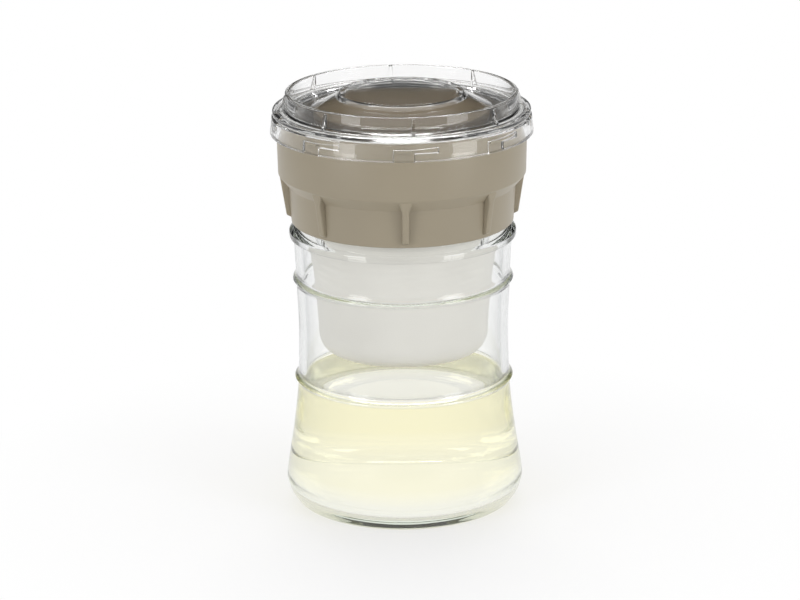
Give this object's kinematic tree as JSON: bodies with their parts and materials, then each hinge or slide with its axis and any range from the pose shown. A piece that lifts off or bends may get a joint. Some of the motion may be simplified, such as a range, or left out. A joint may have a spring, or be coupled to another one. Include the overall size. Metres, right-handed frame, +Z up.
{
  "type": "cheese making jar",
  "caption": "Waisted clear glass jar with a taupe screw collar, a mesh strainer bag of pressed curd hanging above the whey, and a clear bayonet lid over a sprung press",
  "frame": {"origin": "centre of the jar's foot, on the surface that it stands on", "axes": "Z up along the jar's axis, -Y towards the front, X to the right"},
  "size_m": [0.11, 0.11, 0.1782],
  "materials": {
    "clear_glass": "polished",
    "whey": "clear liquid",
    "silicone": "satin",
    "taupe_plastic": "satin",
    "strainer_mesh": "fine woven mesh",
    "curd": "soft",
    "spring_steel": "drawn wire",
    "clear_plastic": "clear polished"
  },
  "bodies": {
    "jar": {"glass_jar": "clear_glass", "whey": "whey"},
    "rim_seal": {"jar_seal": "silicone"},
    "collar": {"collar": "taupe_plastic"},
    "strainer": {"strainer_hoop": "taupe_plastic", "strainer_bag": "strainer_mesh", "curd": "curd", "press_spring": "spring_steel", "press_cap": "taupe_plastic"},
    "press": {"press_plate": "taupe_plastic"},
    "cover_seal": {"lid_seal": "silicone"},
    "cover": {"clear_lid": "clear_plastic"}
  },
  "joints": [
    {"name": "collar_rise", "type": "slide", "parent": "jar", "child": "rim_seal", "axis": [0, 0, 1], "range_m": [0, 0.006]},
    {"name": "collar_turn", "type": "hinge", "parent": "rim_seal", "child": "collar", "pos_m": [0, 0, 0.13], "axis": [0, 0, 1], "range_deg": [0, 360]},
    {"name": "strainer_lift", "type": "slide", "parent": "collar", "child": "strainer", "axis": [0, 0, 1], "range_m": [0, 0.11]},
    {"name": "press_travel", "type": "slide", "parent": "strainer", "child": "press", "axis": [0, 0, -1], "range_m": [0, 0.012], "deforming": ["press_spring", "curd"]},
    {"name": "lid_lift", "type": "slide", "parent": "strainer", "child": "cover_seal", "axis": [0, 0, 1], "range_m": [0, 0.04]},
    {"name": "lid_turn", "type": "hinge", "parent": "cover_seal", "child": "cover", "pos_m": [0, 0, 0.165], "axis": [0, 0, 1], "range_deg": [-10, 0]}
  ],
  "couplings": [
    {"joint": "collar_rise", "follows": "collar_turn", "m_per_rad": 0.00095493}
  ]
}
